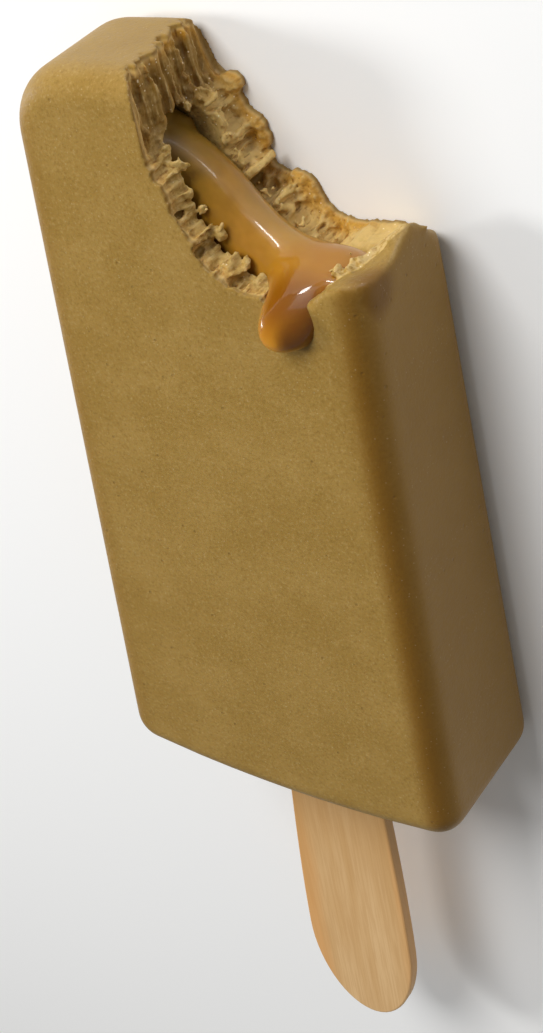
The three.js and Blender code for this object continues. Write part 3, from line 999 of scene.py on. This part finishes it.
def torn_inside(tree, grain, depth, place, lines):
    """The bitten inside, with painted light and shade: melted lips at the rims painted with light
    glowing through them and a highlight at their edge, painted light on the back wall, painted
    shade on the tip wall and in the hollows, and painted highlights on the torn ridges.
    """
    height = put(tree, "SeparateXYZ", inputs={0: place}).outputs[2]
    fine = grain["Fine Grain"]
    # Painted light on the lips: an orange glow through the back rim, a paler lit front rim, and a
    # highlight at the edge.
    lips = blend_colours(tree, steps(tree, height, 5 * MM, 14 * MM), LIP_BACK_GLOW, LIP_FRONT_LIT)
    lips = blend_colours(tree, steps(tree, fine, 0.35, 0.65, 0.5, 0), lips, LIP_SPECK)
    lips = blend_colours(tree, steps(tree, depth, 1.2, 0.5), lips, LIP_EDGE_HIGHLIGHT)
    flesh = blend_colours(tree, steps(tree, grain["Height"], 0.38, 0.6), FLESH_DENT, FLESH_LUMP)
    # A painted pool of light on the back wall, away from the tip wall.
    open_share = number(tree, "SUBTRACT", 1.0, kept(tree, "sheltered"))
    back_wall_light = times(tree, steps(tree, height, 8 * MM, 5 * MM, 0, 0.6), open_share)
    flesh = blend_colours(tree, back_wall_light, flesh, FLESH_BACK_LIGHT)
    # Painted shade on the tip wall.
    tip_wall_shade = times(tree, kept(tree, "sheltered"), 0.65)
    flesh = blend_colours(tree, tip_wall_shade, flesh, FLESH_TIP_WALL_SHADE)
    side_wall = number(tree, "SUBTRACT", 1.0, kept(tree, "melted lip"))
    inward = number(tree, "MAXIMUM", steps(tree, depth, 0.9, 2.6), side_wall)
    colour = blend_colours(tree, inward, lips, flesh)
    ridge = stirred(tree, kept(tree, "ridge"), fine, 0.12)
    ridge = stirred(tree, ridge, lines, 0.75)
    # Painted shade in the hollows and a painted highlight on the ridges, both also marking the tear
    # lines.
    colour = blend_colours(tree, steps(tree, ridge, -0.03, -0.24, 0, 0.82), colour, TORN_GROOVE_SHADE)
    colour = blend_colours(tree, steps(tree, ridge, 0.03, 0.24, 0, 0.7), colour, TORN_RIDGE_HIGHLIGHT)
    crumbly = times(tree, kept(tree, "crumbly"), steps(tree, grain["Height"], 0.4, 0.55))
    return blend_colours(tree, crumbly, colour, CRUMB_PALE)


def ice_cream_material():
    material, tree, shader = new_material(
        "caramel ice cream", Subsurface_Weight=0.1, Subsurface_Radius=(1.0, 0.5, 0.12),
        Subsurface_Scale=0.001, Specular_IOR_Level=0.26,
    )
    place = tree.nodes.new("ShaderNodeTexCoord").outputs["Object"]
    grain = place_group(tree, FROZEN_GRAIN, Place=place, Grain_Size=1.0)
    depth = kept(tree, "depth")
    torn = steps(tree, depth, 0.35, 1.0)
    lines = tear_lines(tree, place)
    inside = torn_inside(tree, grain, depth, place, lines)
    colour = blend_colours(tree, torn, moulded_skin(tree, grain), inside)
    # Pale ice crystals, faint on the skin; on the bite they are strong as painted glints.
    frost_and_glints = times(tree, grain["Ice Crystals"], steps(tree, depth, 0.3, 1.4, 0.12, 0.8))
    colour = blend_colours(tree, frost_and_glints, colour, ICE_GLINT_PALE)
    tree.links.new(colour, shader.inputs["Base Color"])
    skin_rough = steps(tree, grain["Fine Grain"], 0.35, 0.7, 0.4, 0.56)
    rough = number(tree, "ADD", skin_rough, times(tree, torn, 0.25))
    tree.links.new(rough, shader.inputs["Roughness"])
    scored = times(tree, times(tree, lines, torn), 1.3)
    height = number(tree, "ADD", grain["Height"], scored)
    bump = put(tree, "Bump", inputs={"Strength": 0.55, "Distance": 0.2 * MM, "Height": height})
    tree.links.new(bump.outputs[0], shader.inputs["Normal"])
    return material


CARAMEL_RICH = (0.38, 0.17, 0.014, 1)
CARAMEL_LIGHT = (0.46, 0.22, 0.026, 1)
# Painted shade for the caramel inside the bar.
CARAMEL_INSIDE_SHADE = (0.2, 0.105, 0.01, 1)
# A painted reflection: the pale sheen on the stream's upper side.
CARAMEL_SHEEN = (0.43, 0.26, 0.07, 1)
CARAMEL_RIGHT_END = (0.36, 0.145, 0.008, 1)
DRIP_TOP = (0.21, 0.068, 0.001, 1)
# Painted light on the lower end of the drip.
DRIP_FOOT_LIT = (0.58, 0.25, 0.012, 1)
# Painted light on the drip's left side.
DRIP_LEFT_LIT = (0.5, 0.25, 0.05, 1)
# Painted shade on the drip's right side.
DRIP_RIGHT_SHADE = (0.2, 0.065, 0.001, 1)


def caramel_material():
    """Glossy, with painted shade inside the bar, a painted sheen on the stream's upper side, and a
    drip dark on top with painted light below and on its left and painted shade on its right.
    """
    material, tree, shader = new_material(
        "soft milk caramel", Subsurface_Weight=0.3, Subsurface_Radius=(1.0, 0.5, 0.05),
        Subsurface_Scale=0.0016, Specular_IOR_Level=0.14, Coat_Roughness=0.045,
    )
    coordinates = tree.nodes.new("ShaderNodeTexCoord").outputs
    place, normal = coordinates["Object"], coordinates["Normal"]
    x, y, z = put(tree, "SeparateXYZ", inputs={0: place}).outputs
    swirl = speckle(tree, place, 6, 3, 0.6, stretch=(1, 1, 1.6))
    colour = blend_colours(tree, steps(tree, swirl, 0.3, 0.7), CARAMEL_RICH, CARAMEL_LIGHT)
    # Painted shade on the caramel inside the bar.
    inside = steps(tree, stirred(tree, x, swirl, 0.008), 8 * MM, -4 * MM)
    colour = blend_colours(tree, inside, colour, CARAMEL_INSIDE_SHADE)
    # A painted reflection: a pale sheen where the stream faces the bar's side and tip, outside the
    # bar and below the drip.
    upper = steps(tree, facing(tree, normal, (0.68, 0.68, -0.28)), 0.6, 0.98, 0, 0.55)
    outside = steps(tree, x, 1 * MM, 6 * MM)
    below_drip = steps(tree, z, 14.5 * MM, 11.5 * MM)
    painted_sheen = times(tree, upper, times(tree, outside, below_drip))
    colour = blend_colours(tree, painted_sheen, colour, CARAMEL_SHEEN)
    right_end = steps(tree, x, 8 * MM, 15 * MM, 0, 0.75)
    colour = blend_colours(tree, right_end, colour, CARAMEL_RIGHT_END)
    drip = steps(tree, z, 13.5 * MM, 19 * MM)
    # Painted light: the drip's lower end is lighter.
    foot_light = steps(tree, y, 57.5 * MM, 53 * MM)
    colour = blend_colours(tree, drip, colour, blend_colours(tree, foot_light, DRIP_TOP, DRIP_FOOT_LIT))
    # Painted light on the drip's left side.
    turned = facing(tree, normal, (0.93, 0, 0.36))
    left = times(tree, drip, steps(tree, turned, -0.1, -0.8, 0, 0.8))
    colour = blend_colours(tree, left, colour, DRIP_LEFT_LIT)
    # Painted shade on the drip's right side.
    right = times(tree, drip, steps(tree, turned, 0.4, 0.9))
    colour = blend_colours(tree, right, colour, DRIP_RIGHT_SHADE)
    tree.links.new(colour, shader.inputs["Base Color"])
    tree.links.new(steps(tree, x, -4 * MM, 4 * MM, 0.5, 0.3), shader.inputs["Roughness"])
    tree.links.new(steps(tree, x, -2 * MM, 6 * MM, 0.03, 0.65), shader.inputs["Coat Weight"])
    return material


WOOD_BROWN = (0.64, 0.39, 0.165, 1)
WOOD_PALE = (0.72, 0.47, 0.225, 1)
WOOD_FIBRE = (0.55, 0.31, 0.12, 1)
WOOD_EDGE = (0.68, 0.32, 0.09, 1)
# A painted shadow of the bar on the stick.
WOOD_BAR_SHADOW = (0.42, 0.22, 0.065, 1)


def stick_material():
    """Plain wood with its grain along the stick, and a painted shadow of the bar that darkens it
    beside the bar.
    """
    material, tree, shader = new_material("bare light wood", Roughness=0.6)
    place = tree.nodes.new("ShaderNodeTexCoord").outputs["Object"]
    x, y, _ = put(tree, "SeparateXYZ", inputs={0: place}).outputs
    fibres = speckle(tree, place, 0.3, 3, 0.6, stretch=(1, 0.02, 1))
    bands = speckle(tree, place, 2.6, 2, 0.5, stretch=(1, 0.06, 1))
    colour = blend_colours(tree, steps(tree, bands, 0.35, 0.65), WOOD_BROWN, WOOD_PALE)
    colour = blend_colours(tree, steps(tree, fibres, 0.58, 0.4, 0, 0.4), colour, WOOD_FIBRE)
    from_middle = stirred(tree, number(tree, "ABSOLUTE", x), bands, 0.006)
    edge = steps(tree, from_middle, 5.8 * MM, 9 * MM, 0, 0.6)
    colour = blend_colours(tree, edge, colour, WOOD_EDGE)
    # A painted shadow of the bar, darker towards the bar.
    bar_shadow = steps(tree, y, -62 * MM, -26 * MM, 0, 0.6)
    colour = blend_colours(tree, bar_shadow, colour, WOOD_BAR_SHADOW)
    tree.links.new(colour, shader.inputs["Base Color"])
    bump = put(tree, "Bump", inputs={"Strength": 0.25, "Distance": 0.06 * MM, "Height": fibres})
    tree.links.new(bump.outputs[0], shader.inputs["Normal"])
    return material


def finish(piece, material, node=None):
    piece.data.materials.clear()
    piece.data.materials.append(material)
    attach(piece, "root")
    if node:
        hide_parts(node)


bar = refine_bar(bitten_bar())
finish(bar, ice_cream_material(), "ice_cream")
caramel = caramel_filling()
finish(caramel, caramel_material(), "caramel_filling")
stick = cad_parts["stick"]
stick.data.materials.clear()
stick.data.materials.append(stick_material())

# The table, the lights and the camera.

deselect()
bpy.ops.mesh.primitive_plane_add(size=6, location=(0, 0, 0))
table = bpy.context.object
table.name = "table"
table.data.materials.append(
    new_material("pale table", Base_Color=(0.93, 0.93, 0.92, 1), Roughness=0.7)[0]
)


# Where the lamps are aimed, in metres.
LIT_SPOT = Vector((0, 0.045, 0.01))


def soft_light(name, place, size, power, size_up=None, mirrored=False):
    """A lamp, placed in metres, that either lights the bar or is only mirrored in its gloss."""
    deselect()
    bpy.ops.object.light_add(type="AREA", location=place)
    light = bpy.context.object
    light.name = name
    light.data.shape = "RECTANGLE" if size_up else "DISK"
    light.data.size = size
    if size_up:
        light.data.size_y = size_up
    light.data.energy = power
    light.visible_camera = False
    light.visible_diffuse = not mirrored
    light.visible_glossy = mirrored
    light.rotation_euler = (LIT_SPOT - Vector(place)).to_track_quat("-Z", "Y").to_euler()


soft_light("key", (-0.12, 0.5, 0.42), 0.36, 3.5)
soft_light("left fill", (-0.5, 0.14, 0.36), 0.16, 1.7)
soft_light("low panel", (0.15, 0.42, 0.07), 0.36, 0.12, 0.1, mirrored=True)
soft_light("streak", (0.08, 0.3, 0.012), 0.2, 0.4, 0.018, mirrored=True)
soft_light("glint", (-0.6, 0.09, 0.08), 0.06, 0.5, 0.15, mirrored=True)
world = bpy.data.worlds.new("studio")
world.use_nodes = True
sky = world.node_tree.nodes["Background"]
sky.inputs["Color"].default_value = (1, 1, 1, 1)
sky.inputs["Strength"].default_value = 0.24
bpy.context.scene.world = world

# The camera's axes, place and lens, as the fit to the bar's outline gave them.
right = Vector((0.8249575, -0.1725055, -0.5382258)).normalized()
down = Vector((0.2149426, -0.7849780, 0.5810415)).normalized()
ahead = Vector((-0.5227282, -0.5950222, -0.6104947)).normalized()
deselect()
bpy.ops.object.camera_add()
camera = bpy.context.object
turned = Matrix((right, -down, -ahead)).transposed().to_4x4()
camera.matrix_world = Matrix.Translation(at(124.99, 183.58, 159.84)) @ turned
camera.data.sensor_fit = "AUTO"
camera.data.sensor_width = 36
camera.data.lens = 64.69
camera.data.clip_start = 0.01
bpy.context.scene.camera = camera
bpy.context.scene.view_settings.view_transform = "Standard"
